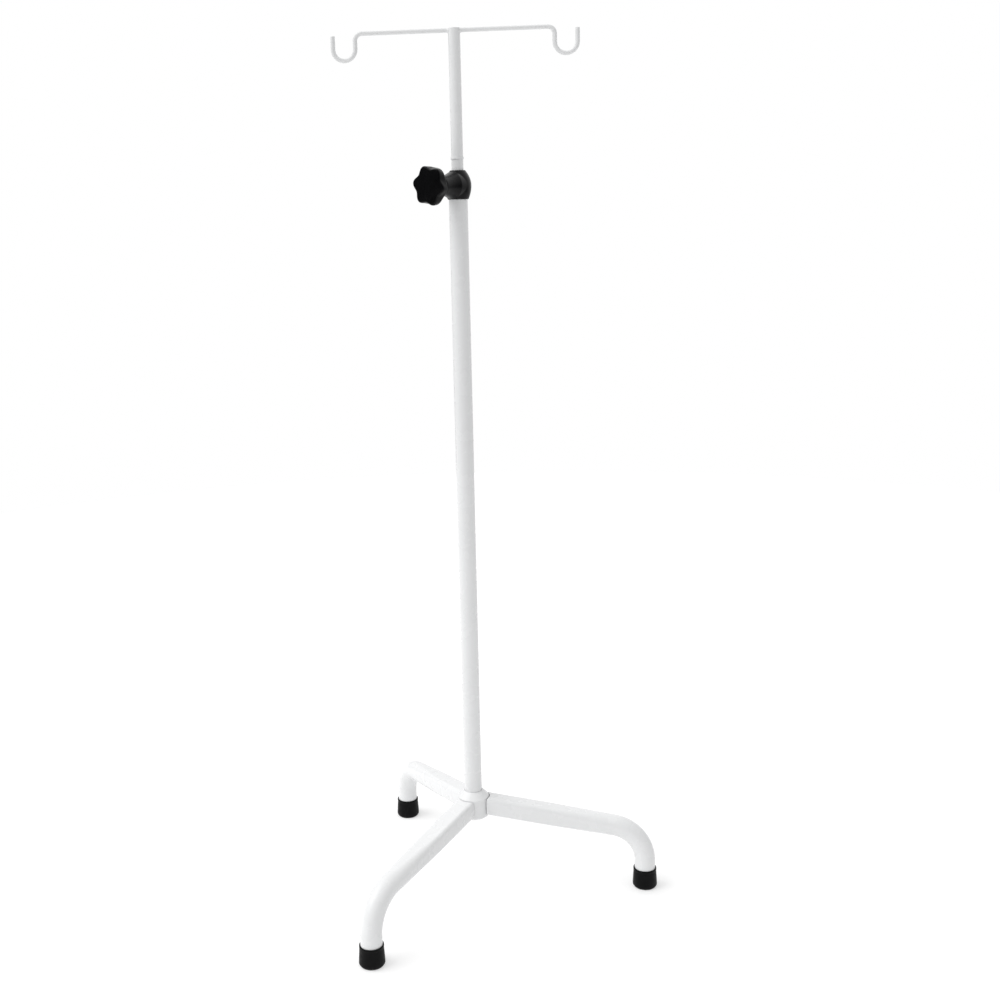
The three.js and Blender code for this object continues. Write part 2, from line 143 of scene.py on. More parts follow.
# clamp
COLLAR_MIDDLE = 18.3 * MM
COLLAR_BELOW = CLAMP_CENTRE.z - bottom("clamp_collar")
COLLAR_ABOVE = top("clamp_collar") - CLAMP_CENTRE.z
COLLAR_BOTTOM_RADIUS = 14 * MM
COLLAR_TOP_RADIUS = 10.2 * MM
COLLAR_GUIDE = 8.3 * MM
BOSS = 13.8 * MM
BOSS_FLARE = 18.2 * MM
FLARE_END = 33 * MM
BOSS_END = 39 * MM
STUD_WAY = 4.7 * MM
INSERT = 7 * MM
INSERT_START = 22 * MM
KNURLS = 30
KNURL_DEPTH = 0.12 * MM
COLLAR_SCREW = 1.6 * MM
COLLAR_SCREW_HEAD = 3.6 * MM
COLLAR_SCREW_SEAT = 16.1 * MM
COLLAR_SCREW_DROP = 10 * MM
COLLAR_SCREW_DOME = 2.1 * MM
CROSS_RECESS = (4.2 * MM, 0.8 * MM, 2 * MM)
STUD = 4 * MM
THREAD_PITCH = 1.25 * MM
THREAD_DEPTH = 0.6 * MM
PAD_END = 13.1 * MM
PAD = 3.4 * MM
PAD_TIP = 8.15 * MM
KNOB_BACK = 41.5 * MM
KNOB_FACE = 64 * MM
KNOB_RIM = 12 * MM
KNOB_NECK = 12 * MM
KNOB_FACE_RADIUS = 24.3 * MM
KNOB_BACK_RADIUS = 25.5 * MM
KNOB_SOCKET = 6 * MM  # how far the blind bore stops short of the face
KNOB_SIDES = 144
KNOB_MESH = 1.8 * MM  # longest step along the outline
LOBES = 6
LOBE_TURN = math.radians(19)
LOBE = 2.4 * MM
LOBE_BACK = 0.8 * MM

# hook bar
ROD = 3 * MM
ROD_SIDES = 28
ROD_TIP_EDGE = 1 * MM
WELD_START = MAST - 1.2 * MM  # just inside the tube's wall
WELD_LENGTH = 4.2 * MM
WELD_SWELL = 1.9 * MM
WELD_RIPPLE = 0.12 * MM
WELD_SIDES = 40
BAR_HEIGHT = top("inner_tube") - ROD
HOOK_INNER = 133 * MM
HOOK_RADIUS = 15 * MM
HOOK_BEND = 9 * MM
HOOK_BOTTOM = bottom("hook_bar") + ROD
HOOK_TIP = 1226 * MM

# ---------------------------------------------------------------- mesh helpers


def rounded(corners, loop=False, steps=5):
    """An outline through (across, up, radius) corners, each turned with an arc of its own radius."""
    outline = []
    for i, (across, up, radius) in enumerate(corners):
        here = Vector((across, up))
        if radius == 0 or (not loop and i in (0, len(corners) - 1)):
            outline.append(here)
            continue
        before = (Vector(corners[i - 1][:2]) - here).normalized()
        after = (Vector(corners[(i + 1) % len(corners)][:2]) - here).normalized()
        half = before.angle(after) / 2
        centre = here + (before + after).normalized() * radius / math.sin(half)
        start = here + before * radius / math.tan(half) - centre
        end = here + after * radius / math.tan(half) - centre
        sweep = math.atan2(start.x * end.y - start.y * end.x, start.dot(end))
        for k in range(steps + 1):
            outline.append(centre + Matrix.Rotation(sweep * k / steps, 2) @ start)
    return outline


def skinned(rings, loop=False):
    """Joins rings of points. A loop's last ring joins its first; other skins are closed with a cap."""
    bm = bmesh.new()
    rows = [[bm.verts.new(point) for point in ring] for ring in rings]
    pairs = list(zip(rows, rows[1:]))
    if loop:
        pairs.append((rows[-1], rows[0]))
    else:
        bm.faces.new(rows[0])
        bm.faces.new(rows[-1])
    for here, there in pairs:
        for i in range(len(here)):
            j = (i + 1) % len(here)
            bm.faces.new((here[i], here[j], there[j], there[i]))
    return bm


def turned(profile, sides, loop=False, wave=None):
    """A body of revolution about Z. A wave(turn, height) gives each point's extra radius."""
    rings = []
    for radius, height in profile:
        ring = []
        for i in range(sides):
            turn = TURN * i / sides
            reach = radius + (wave(turn, height) if wave and radius > 0 else 0)
            ring.append(Vector((reach * math.cos(turn), reach * math.sin(turn), height)))
        rings.append(ring)
    return skinned(rings, loop)


def bored(inner, outer, low, high, sides, edge=0.4 * MM):
    """A tube with slightly rounded ends."""
    corners = [(inner, low, edge), (outer, low, edge), (outer, high, edge), (inner, high, edge)]
    return turned(rounded(corners, loop=True), sides, loop=True)


def peg(radius, low, high, sides=48):
    """A plain cutter along Z."""
    return turned([(radius, low), (radius, high)], sides)


def moved(bm, matrix):
    bm.transform(matrix)
    return bm


def as_object(bm, name="work"):
    """Puts a bmesh into the scene, with its doubles merged and its faces turned outwards."""
    bmesh.ops.remove_doubles(bm, verts=bm.verts, dist=1e-6)
    bmesh.ops.recalc_face_normals(bm, faces=bm.faces)
    mesh = bpy.data.meshes.new(name)
    bm.to_mesh(mesh)
    bm.free()
    made = bpy.data.objects.new(name, mesh)
    bpy.context.scene.collection.objects.link(made)
    return made


def evaluated(made):
    """The object's mesh with its modifiers applied, as a bmesh; the object is removed."""
    bpy.context.view_layer.update()
    result = bmesh.new()
    result.from_object(made, bpy.context.evaluated_depsgraph_get())
    bpy.data.objects.remove(made)
    return result


def combined(bm, operation, others):
    """Boolean of bm with each of the others: UNION, DIFFERENCE or INTERSECT."""
    body = as_object(bm)
    tools = [as_object(other) for other in others]
    for tool in tools:
        step = body.modifiers.new("cut", "BOOLEAN")
        step.operation = operation
        step.solver = "EXACT"
        step.object = tool
    result = evaluated(body)
    for tool in tools:
        bpy.data.objects.remove(tool)
    return result


def moulded(bm, voxel, rounds):
    """Remeshes to an even grid and relaxes it, which leaves a small fillet on every edge."""
    body = as_object(bm)
    remesh = body.modifiers.new("remesh", "REMESH")
    remesh.mode = "VOXEL"
    remesh.voxel_size = voxel
    smooth = body.modifiers.new("smooth", "SMOOTH")
    smooth.factor = 0.5
    smooth.iterations = rounds
    return evaluated(body)


def piece(name, bm, finish, body, nodes, crease=35):
    """A shown piece: smooth except at creases, in a finish, on a body, standing for its CAD nodes."""
    made = as_object(bm, name)
    made.data.shade_smooth()
    made.data.set_sharp_from_angle(angle=math.radians(crease))
    made.data.materials.append(FINISHES[finish])
    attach(made, body)
    if nodes:
        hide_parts(*nodes)


# ---------------------------------------------------------------- materials


class Finish:
    """A Principled material under construction; each method adds nodes and returns an output socket."""

    def __init__(self, name, **values):
        self.material = bpy.data.materials.new(name)
        self.material.use_nodes = True
        self.tree = self.material.node_tree
        self.shader = self.tree.nodes["Principled BSDF"]
        for socket, value in values.items():
            self.shader.inputs[socket.replace("_", " ")].default_value = value
        self.place = self.add("ShaderNodeTexCoord").outputs["Object"]

    def add(self, kind, **values):
        node = self.tree.nodes.new(kind)
        for key, value in values.items():
            setattr(node, key, value)
        return node

    def link(self, output, target):
        self.tree.links.new(output, target)

    def noise(self, scale, detail=2.0, stretch=(1, 1, 1), rough=0.5):
        mapping = self.add("ShaderNodeMapping")
        mapping.inputs["Scale"].default_value = stretch
        self.link(self.place, mapping.inputs["Vector"])
        node = self.add("ShaderNodeTexNoise")
        node.inputs["Scale"].default_value = scale
        node.inputs["Detail"].default_value = detail
        node.inputs["Roughness"].default_value = rough
        self.link(mapping.outputs["Vector"], node.inputs["Vector"])
        return node.outputs["Fac"]

    def patches(self, scale, detail, first, last):
        """Noise stretched over the span from first to last."""
        return self.ranged(self.noise(scale, detail), 0.3, 0.7, first, last)

    def cells(self, scale):
        node = self.add("ShaderNodeTexVoronoi")
        node.inputs["Scale"].default_value = scale
        self.link(self.place, node.inputs["Vector"])
        return node.outputs["Distance"]

    def height(self, low, high):
        """0 below low to 1 above high, along Z."""
        split = self.add("ShaderNodeSeparateXYZ")
        self.link(self.place, split.inputs["Vector"])
        return self.ranged(split.outputs["Z"], low, high, 0, 1)

    def ranged(self, value, low, high, first, last):
        node = self.add("ShaderNodeMapRange")
        for socket, number in zip(("From Min", "From Max", "To Min", "To Max"), (low, high, first, last)):
            node.inputs[socket].default_value = number
        self.link(value, node.inputs["Value"])
        return node.outputs["Result"]

    def maths(self, operation, one, two):
        node = self.add("ShaderNodeMath", operation=operation)
        for socket, value in zip(node.inputs, (one, two)):
            if isinstance(value, (int, float)):
                socket.default_value = value
            else:
                self.link(value, socket)
        return node.outputs["Value"]

    def mixed(self, amount, first, second):
        """A colour between two colours; either may be a socket."""
        node = self.add("ShaderNodeMix", data_type="RGBA")
        self.link(amount, node.inputs[0])
        for socket, colour in zip(node.inputs[6:8], (first, second)):
            if isinstance(colour, tuple):
                socket.default_value = (*colour, 1)
            else:
                self.link(colour, socket)
        return node.outputs[2]

    def bump(self, height, depth, strength=1.0, below=None):
        node = self.add("ShaderNodeBump")
        node.inputs["Strength"].default_value = strength
        node.inputs["Distance"].default_value = depth
        self.link(height, node.inputs["Height"])
        if below:
            self.link(below, node.inputs["Normal"])
        return node.outputs["Normal"]

    def done(self, colour, roughness, normal):
        self.link(colour, self.shader.inputs["Base Color"])
        self.link(roughness, self.shader.inputs["Roughness"])
        self.link(normal, self.shader.inputs["Normal"])
        return self.material


def powder_coat():
    """Gloss white powder coat: faint orange peel and a little dust near the floor."""
    finish = Finish("powder_coat", Specular_IOR_Level=0.35)
    peel = finish.noise(520, detail=1.5)
    grain = finish.noise(2600, detail=1)
    normal = finish.bump(peel, 0.02 * MM, 0.3)
    normal = finish.bump(grain, 0.004 * MM, 0.3, below=normal)
    tone = finish.patches(14, 3, 0, 1)
    colour = finish.mixed(tone, (0.77, 0.775, 0.78), (0.755, 0.76, 0.765))
    marks = finish.ranged(finish.noise(90, detail=4, rough=0.7, stretch=(1, 1, 0.35)), 0.66, 0.84, 0, 0.15)
    low = finish.maths("SUBTRACT", 1, finish.height(0.03, 0.14))
    dust = finish.maths("MULTIPLY", marks, finish.maths("MULTIPLY", low, 0.7))
    colour = finish.mixed(dust, colour, (0.72, 0.715, 0.70))
    roughness = finish.patches(45, 3, 0.25, 0.29)
    return finish.done(colour, roughness, normal)


def black_plastic():
    """Moulded black plastic with a fine spark-eroded grain."""
    finish = Finish("black_plastic", Specular_IOR_Level=0.14)
    grain = finish.cells(1500)
    normal = finish.bump(grain, 0.03 * MM, 0.35)
    normal = finish.bump(finish.noise(300, detail=2), 0.04 * MM, 0.25, below=normal)
    tone = finish.patches(60, 4, 0, 1)
    colour = finish.mixed(tone, (0.0012, 0.0012, 0.0015), (0.0026, 0.0026, 0.0031))
    roughness = finish.patches(130, 4, 0.26, 0.36)
    return finish.done(colour, roughness, normal)


def black_rubber():
    """Moulded rubber, dull, with a little floor dust on the lowest few millimetres."""
    finish = Finish("black_rubber", Specular_IOR_Level=0.1)
    normal = finish.bump(finish.noise(1400, detail=3), 0.04 * MM, 0.4)
    tone = finish.patches(80, 4, 0, 1)
    colour = finish.mixed(tone, (0.0018, 0.0018, 0.002), (0.0035, 0.0035, 0.0038))
    scuffs = finish.ranged(finish.noise(260, detail=5, rough=0.7), 0.5, 0.72, 0, 0.6)
    low = finish.maths("SUBTRACT", 1, finish.height(0.5 * MM, 6 * MM))
    dust = finish.maths("MULTIPLY", scuffs, low)
    colour = finish.mixed(dust, colour, (0.09, 0.085, 0.08))
    roughness = finish.patches(200, 3, 0.42, 0.58)
    return finish.done(colour, roughness, normal)


def metal(name, first, second, rough_low, rough_high):
    """Plated or turned metal with fine machining lines across Z."""
    finish = Finish(name, Metallic=1.0)
    lines = finish.noise(900, detail=2, stretch=(0.25, 0.25, 6))
    normal = finish.bump(lines, 0.01 * MM, 0.4)
    tone = finish.patches(240, 4, 0, 1)
    colour = finish.mixed(tone, first, second)
    roughness = finish.patches(500, 3, rough_low, rough_high)
    return finish.done(colour, roughness, normal)


def nylon():
    """Natural nylon: slightly mottled, waxy and translucent."""
    finish = Finish("nylon", Subsurface_Weight=0.2, Subsurface_Scale=1 * MM)
    normal = finish.bump(finish.noise(900, detail=2), 0.02 * MM, 0.4)
    tone = finish.patches(150, 3, 0, 1)
    colour = finish.mixed(tone, (0.80, 0.77, 0.68), (0.74, 0.71, 0.61))
    roughness = finish.patches(250, 2, 0.42, 0.55)
    return finish.done(colour, roughness, normal)


FINISHES = {
    "powder_coat": powder_coat(),
    "black_plastic": black_plastic(),
    "black_rubber": black_rubber(),
    "zinc_steel": metal("zinc_steel", (0.60, 0.61, 0.63), (0.50, 0.51, 0.54), 0.22, 0.38),
    "brass_insert": metal("brass_insert", (0.62, 0.44, 0.17), (0.52, 0.36, 0.13), 0.25, 0.4),
    "nylon": nylon(),
}

# ---------------------------------------------------------------- camera and light

CAMERA_DISTANCE = 1.8  # from the pole, along the floor
CAMERA_HEIGHT = 1.0046
CAMERA_ROUND = math.radians(4.23)  # how far round from the hook bar's square-on view
CAMERA_PITCH = math.radians(10.79)
CAMERA_YAW = math.radians(-0.62)
CAMERA_ROLL = math.radians(-1.57)
CAMERA_LENS = 46.87
CAMERA_SHIFT = (0.0492, -0.05)

KEY_FROM = (-0.65, -0.1, 0.8)  # direction that the key light comes from
KEY_ANGLE = math.radians(45)
KEY_STRENGTH = 1.15
# For each ramp of the world: its bright side, where it starts and ends on the cosine from that
# side, and its strength at both ends.
LIT_BY = ((-0.5, -0.1, 0.86), (0.0, 1.0), (0.46, 1.2))
MIRRORED = ((0.45, 0.5, 0.74), (0.1, 1.0), (0.1, 1.7))
FLOOR_RADIUS = 3.0
FLOOR_GREY = 0.6
FLOOR_GLOW = 0.42  # the sheet under the stand is lit from below too


def make_camera():
    data = bpy.data.cameras.new("camera")
    data.sensor_width = 36
    data.lens = CAMERA_LENS
    data.shift_x, data.shift_y = CAMERA_SHIFT
    camera = bpy.data.objects.new("camera", data)
    bpy.context.scene.collection.objects.link(camera)
    spin = Matrix.Rotation(CAMERA_ROUND, 4, "Z")
    place = POLE + spin @ Vector((0, -CAMERA_DISTANCE, CAMERA_HEIGHT))
    upright = Matrix.Rotation(TURN / 4 - CAMERA_PITCH, 4, "X")
    aim = spin @ Matrix.Rotation(-CAMERA_YAW, 4, "Z") @ upright @ Matrix.Rotation(CAMERA_ROLL, 4, "Z")
    camera.matrix_world = Matrix.Translation(place) @ aim
    bpy.context.scene.camera = camera


def world_ramp(tree, side, cosines, strengths):
    """A white background, stronger towards one side."""
    facing = tree.nodes.new("ShaderNodeVectorMath")
    facing.operation = "DOT_PRODUCT"
    facing.inputs[1].default_value = Vector(side).normalized()
    tree.links.new(tree.nodes.new("ShaderNodeTexCoord").outputs["Generated"], facing.inputs[0])
    ramp = tree.nodes.new("ShaderNodeMapRange")
    for socket, number in zip(("From Min", "From Max", "To Min", "To Max"), (*cosines, *strengths)):
        ramp.inputs[socket].default_value = number
    tree.links.new(facing.outputs["Value"], ramp.inputs["Value"])
    background = tree.nodes.new("ShaderNodeBackground")
    background.inputs["Color"].default_value = (1, 1, 1, 1)
    tree.links.new(ramp.outputs["Result"], background.inputs["Strength"])
    return background.outputs["Background"]


def make_world():
    """White where the camera sees it; surfaces are lit by one ramp and mirror another."""
    world = bpy.data.worlds.new("studio")
    bpy.context.scene.world = world
    world.use_nodes = True
    tree = world.node_tree
    paths = tree.nodes.new("ShaderNodeLightPath").outputs
    seen = tree.nodes["Background"]
    seen.inputs["Color"].default_value = (1, 1, 1, 1)
    made = world_ramp(tree, *LIT_BY)
    for path, shown in (("Is Glossy Ray", world_ramp(tree, *MIRRORED)), ("Is Camera Ray", seen.outputs[0])):
        mix = tree.nodes.new("ShaderNodeMixShader")
        tree.links.new(paths[path], mix.inputs["Fac"])
        tree.links.new(made, mix.inputs[1])
        tree.links.new(shown, mix.inputs[2])
        made = mix.outputs["Shader"]
    tree.links.new(made, tree.nodes["World Output"].inputs["Surface"])


def make_floor():
    """A white sheet under the stand."""
    disc = bmesh.new()
    bmesh.ops.create_circle(disc, cap_ends=True, segments=96, radius=FLOOR_RADIUS)
    floor = as_object(disc, "floor")
    paint = bpy.data.materials.new("floor")
    paint.use_nodes = True
    shader = paint.node_tree.nodes["Principled BSDF"]
    shader.inputs["Base Color"].default_value = (FLOOR_GREY, FLOOR_GREY, FLOOR_GREY, 1)
    shader.inputs["Roughness"].default_value = 0.9
    shader.inputs["Specular IOR Level"].default_value = 0.1
    shader.inputs["Emission Color"].default_value = (1, 1, 1, 1)
    shader.inputs["Emission Strength"].default_value = FLOOR_GLOW
    floor.data.materials.append(paint)


def make_studio():
    make_world()
    make_floor()
    data = bpy.data.lights.new("key", "SUN")
    data.energy = KEY_STRENGTH
    data.angle = KEY_ANGLE
    key = bpy.data.objects.new("key", data)
    bpy.context.scene.collection.objects.link(key)
    key.matrix_world = (-Vector(KEY_FROM)).to_track_quat("-Z", "Y").to_matrix().to_4x4()
    bpy.context.scene.view_settings.view_transform = "Standard"


make_camera()
make_studio()

# ---------------------------------------------------------------- legs and feet

ARM_SLOPE = math.atan2(ARM_AT_POLE - KNEE, FOOT_CIRCLE)
BEND_ANGLE = TURN / 4 - ARM_SLOPE
BEND_TANGENT = BEND_RADIUS * math.tan(BEND_ANGLE / 2)
BEND_START = FOOT_CIRCLE - BEND_TANGENT * math.cos(ARM_SLOPE)
BEND_CENTRE = Vector((FOOT_CIRCLE - BEND_RADIUS, 0, KNEE - BEND_TANGENT))
LEG_SIDES = 64
FLAT_STEPS = 8  # across the flat top and bottom
EDGE_STEPS = 4
ARM_STEPS = 24
BEND_STEPS = 32


def arm_centre(x):
    return ARM_AT_POLE - x * math.tan(ARM_SLOPE)


def leg_section(x, z, slope, roundness, inset):
    """The leg's section at one place: flat-sided at the hub, round from the bend on."""
    width = ARM_WIDTH + (2 * LEG_RADIUS - ARM_WIDTH) * roundness - 2 * inset
    depth = ARM_DEPTH + (2 * LEG_RADIUS - ARM_DEPTH) * roundness - 2 * inset
    corner = ARM_CORNER + (LEG_RADIUS - ARM_CORNER) * roundness - inset
    outline = []
    for i in range(LEG_SIDES):
        turn = TURN * (i + 0.5) / LEG_SIDES
        across = math.copysign(width / 2 - corner, math.cos(turn)) + corner * math.cos(turn)
        up = math.copysign(depth / 2 - corner, math.sin(turn)) + corner * math.sin(turn)
        outline.append((across, up))
        if (i + 1) % (LEG_SIDES // 2) == LEG_SIDES // 4:
            outline += [(across * (1 - 2 * k / FLAT_STEPS), up) for k in range(1, FLAT_STEPS)]
    sine, cosine = math.sin(slope), math.cos(slope)
    return [Vector((x + up * sine, -across, z + up * cosine)) for across, up in outline]


def cut_round(ring, distance):
    """Slides each point of a ring along the arm until it is at a distance from the pole's axis."""
    made = []
    for point in ring:
        x = math.sqrt(distance ** 2 - point.y ** 2)
        made.append(Vector((x, point.y, point.z - (x - point.x) * math.tan(ARM_SLOPE))))
    return made


def leg_rings(inset, edge):
    """Rings from the hub to the foot; the first ones round the tube's end over by edge."""
    start = HUB_RADIUS + SEAM
    rings = []
    edge_steps = EDGE_STEPS if edge else 0
    for k in range(edge_steps + 1):
        turn = TURN / 4 * k / max(edge_steps, 1)
        distance = start + edge * (1 - math.cos(turn))
        cut_back = inset + edge * (1 - math.sin(turn))
        section = leg_section(distance, arm_centre(distance), ARM_SLOPE, 0, cut_back)
        rings.append(cut_round(section, distance))
    for i in range(ARM_STEPS + 1):
        x = FLAT_END + (BEND_START - FLAT_END) * i / ARM_STEPS
        rings.append(leg_section(x, arm_centre(x), ARM_SLOPE, i / ARM_STEPS, inset))
    for i in range(1, BEND_STEPS + 1):
        slope = ARM_SLOPE + BEND_ANGLE * i / BEND_STEPS
        out = Vector((math.sin(slope), 0, math.cos(slope))) * BEND_RADIUS
        rings.append(leg_section(BEND_CENTRE.x + out.x, BEND_CENTRE.z + out.z, slope, 1, inset))
    rings.append(leg_section(FOOT_CIRCLE, LEG_BOTTOM, TURN / 4, 1, inset))
    return rings


SCREW_AT = HUB_RADIUS + SCREW_FROM_HUB
SCREW_FRAME = (
    Matrix.Translation((SCREW_AT, 0, arm_centre(SCREW_AT)))
    @ Matrix.Rotation(ARM_SLOPE, 4, "Y")
    @ Matrix.Translation((0, 0, -ARM_DEPTH / 2))
    @ Matrix.Rotation(TURN / 2, 4, "X")
)


def leg_tube():
    """The bent tube with its saddle-cut end and the screw's hole."""
    rings = leg_rings(0, LEG_END_EDGE) + leg_rings(LEG_WALL, 0)[::-1]
    hole = moved(peg(SCREW_RADIUS + 0.8 * MM, -LEG_WALL - 3 * MM, 3 * MM), SCREW_FRAME)
    return combined(skinned(rings, loop=True), "DIFFERENCE", [hole])


def hexagon(width, low, high):
    """A six-sided body along Z, by its width across flats."""
    return turned([(width / math.sqrt(3), low), (width / math.sqrt(3), high)], 6)


def leg_screw():
    """A low button-head screw with a hexagon socket."""
    head = SCREW_HEAD_HEIGHT
    profile = rounded([
        (0, -SCREW_LENGTH, 0), (SCREW_RADIUS, -SCREW_LENGTH, 0.5 * MM), (SCREW_RADIUS, GAP, 0),
        (SCREW_HEAD, GAP, 0.2 * MM), (SCREW_HEAD - 0.5 * MM, head - 0.3 * MM, 0.6 * MM),
        (SCREW_HEAD - 2 * MM, head, 0.8 * MM), (0, head, 0)])
    return combined(turned(profile, 48), "DIFFERENCE", [hexagon(SCREW_SOCKET, -0.6 * MM, head + 1 * MM)])


def rubber_foot():
    """A tapered ferrule with a thin lip at the top, a rounded tread edge and rings moulded underneath."""
    tread = [(0, 0, 0)]
    for radius in TREAD_RINGS:
        for out, up in ((0, 0), (0.35 * MM, TREAD_DEPTH), (1.3 * MM, TREAD_DEPTH), (1.65 * MM, 0)):
            tread.append((radius + out, up, 0.2 * MM))
    bore = LEG_RADIUS + 0.15 * MM
    high = FOOT_HEIGHT
    side = [
        (FOOT_BOTTOM - 2.2 * MM, 0, 1.2 * MM), (FOOT_BOTTOM, 3.2 * MM, 2.2 * MM),
        (FOOT_BOTTOM - 0.25 * MM, 9 * MM, 20 * MM), (FOOT_RIM - 0.15 * MM, high - 4.2 * MM, 1.5 * MM),
        (FOOT_RIM + 0.1 * MM, high - 2.6 * MM, 0.8 * MM), (FOOT_RIM, high - 0.6 * MM, 0.5 * MM),
        (FOOT_TOP, high, 0.3 * MM), (bore, high, 0.3 * MM), (bore, FOOT_FLOOR, 0.4 * MM)]
    return turned(rounded(tread + side + [(0, FOOT_FLOOR, 0)]), 96)


for leg_name, leg_turn in LEG_TURNS.items():
    place = AT_POLE @ Matrix.Rotation(leg_turn, 4, "Z")
    foot_place = place @ Matrix.Translation((FOOT_CIRCLE, 0, 0))
    piece(f"tube_leg_{leg_name}", moved(leg_tube(), place), "powder_coat", "base", [f"leg_{leg_name}"])
    piece(f"button_screw_{leg_name}", moved(leg_screw(), place @ SCREW_FRAME), "zinc_steel", "base",
          [f"leg_screw_{leg_name}"])
    piece(f"ferrule_{leg_name}", moved(rubber_foot(), foot_place), "black_rubber", "base",
          [f"foot_{leg_name}"])
    washer_low = bottom(f"foot_washer_{leg_name}")
    washer_high = top(f"foot_washer_{leg_name}")
    washer = bored(FOOT_WASHER_BORE, LEG_RADIUS - 1 * MM, washer_low, washer_high, 64, edge=0.3 * MM)
    piece(f"ferrule_washer_{leg_name}", moved(washer, foot_place), "zinc_steel", "base",
          [f"foot_washer_{leg_name}"])

# ---------------------------------------------------------------- hub and pole fixing


def hub_casting():
    """A round body, rounded below, with a cone up to the pole; the pole's socket and the bolt's pocket."""
    return turned(rounded([
        (HUB_RADIUS, HUB_BOTTOM, HUB_ROUND), (HUB_RADIUS, HUB_SHOULDER, 1.2 * MM),
        (HUB_TOP_RADIUS, HUB_TOP, 0.4 * MM), (TUBE + GAP, HUB_TOP, 0.3 * MM),
        (TUBE + GAP, HUB_FLOOR_TOP, 0.5 * MM), (BOLT_HOLE, HUB_FLOOR_TOP, 0.3 * MM),
        (BOLT_HOLE, HUB_FLOOR_BOTTOM, 0.3 * MM), (BOLT_POCKET, HUB_FLOOR_BOTTOM, 0.5 * MM),
        (BOLT_POCKET, HUB_BOTTOM, 0.4 * MM)], loop=True, steps=8), 144, loop=True)


def spigot():
    """The stub that a leg's end slides over, undercut at its root behind the open joint."""
    fit = LEG_WALL + GAP
    necked = fit + SPIGOT_UNDERCUT
    neck = HUB_RADIUS + SEAM + SPIGOT_UNDERCUT
    stations = [(HUB_RADIUS - SPIGOT_ROOT, necked), (neck, necked), (neck + GAP, fit)]
    rings = [cut_round(leg_section(x, arm_centre(x), ARM_SLOPE, 0, inset), x) for x, inset in stations]
    tip = HUB_RADIUS + SPIGOT
    rings.append(leg_section(tip, arm_centre(tip), ARM_SLOPE, 0, fit))
    return skinned(rings)


def hub():
    """The casting with its three spigots and their screw holes."""
    turns = [Matrix.Rotation(turn, 4, "Z") for turn in LEG_TURNS.values()]
    body = combined(hub_casting(), "UNION", [moved(spigot(), turn) for turn in turns])
    hole_end = -SCREW_LENGTH - 3 * MM
    holes = [moved(peg(SCREW_HOLE, hole_end, 4 * MM), turn @ SCREW_FRAME) for turn in turns]
    return combined(body, "DIFFERENCE", holes)


def hub_plug():
    """A snap-in cap over the bolt, with a shallow dish and a rounded rim."""
    fit = BOLT_POCKET - GAP
    low = HUB_BOTTOM - HUB_CAP_DEPTH
    return turned(rounded([
        (0, low + 0.6 * MM, 0), (8 * MM, low + 0.5 * MM, 2 * MM), (9.5 * MM, low, 1 * MM),
        (fit + 1.5 * MM, low, 0.8 * MM), (fit + 1.9 * MM, HUB_BOTTOM - GAP, 0.2 * MM),
        (fit, HUB_BOTTOM - GAP, 0), (fit, HUB_BOTTOM + 2 * MM, 0.3 * MM), (0, HUB_BOTTOM + 2 * MM, 0)]), 72)


def pole_bolt():
    """A hexagon-head bolt, its head's corners bevelled."""
    low, high = bottom("pole_bolt"), top("pole_bolt")
    head_high = low + BOLT_HEAD
    bevel = turned(rounded([
        (0, low, 0), (6.6 * MM, low, 0.2 * MM), (8.8 * MM, low + 1.6 * MM, 0.2 * MM),
        (8.8 * MM, head_high, 0.2 * MM), (0, head_high, 0)]), 72)
    head = combined(hexagon(BOLT_ACROSS_FLATS, low - 1 * MM, head_high + 1 * MM), "INTERSECT", [bevel])
    shank = turned(rounded([
        (0, head_high - 1 * MM, 0), (BOLT, head_high - 1 * MM, 0), (BOLT, high, 0.7 * MM),
        (0, high, 0)]), 48)
    return combined(head, "UNION", [shank])


def pole_washer():
    return bored(WASHER_BORE, WASHER, bottom("pole_bolt_washer"), top("pole_bolt_washer"), 64)


def threaded_plug():
    """A steel plug in the foot of the pole, which the bolt screws into."""
    return bored(WASHER_BORE, TUBE_BORE - 0.2 * MM, bottom("pole_base_plug"), top("pole_base_plug"), 72)


piece("hub_casting", moved(hub(), AT_POLE), "powder_coat", "base", ["hub"], crease=28)
piece("hub_plug", moved(hub_plug(), AT_POLE), "black_plastic", "base", ["hub_cap"])
piece("hex_bolt", moved(pole_bolt(), AT_POLE), "zinc_steel", "base", ["pole_bolt"])
piece("hex_bolt_washer", moved(pole_washer(), AT_POLE), "zinc_steel", "base", ["pole_bolt_washer"])
piece("threaded_plug", moved(threaded_plug(), AT_POLE), "zinc_steel", "base", ["pole_base_plug"])

# ---------------------------------------------------------------- pole and mast


def lower_tube():
    """The outer tube, drilled for the stud and for the collar's screw."""
    tube = bored(TUBE_BORE, TUBE, bottom("outer_tube"), top("outer_tube"), 96)
    stud_hole = moved(peg(STUD_WAY, 5 * MM, 20 * MM), CLAMP_FROM_POLE)
    screw_hole = moved(peg(COLLAR_SCREW + GAP, -20 * MM, -5 * MM), SCREW_FROM_POLE)
    return combined(tube, "DIFFERENCE", [stud_hole, screw_hole])


def upper_tube():
    """The mast's tube, with a saddle cut across its top for the rod."""
    tube = bored(MAST_BORE, MAST, bottom("inner_tube"), top("inner_tube"), 72, edge=0.5 * MM)
    across = Matrix.Translation((0, 0, BAR_HEIGHT)) @ Matrix.Rotation(TURN / 4, 4, "Y")
    return combined(tube, "DIFFERENCE", [moved(peg(ROD + GAP, -20 * MM, 20 * MM), across)])


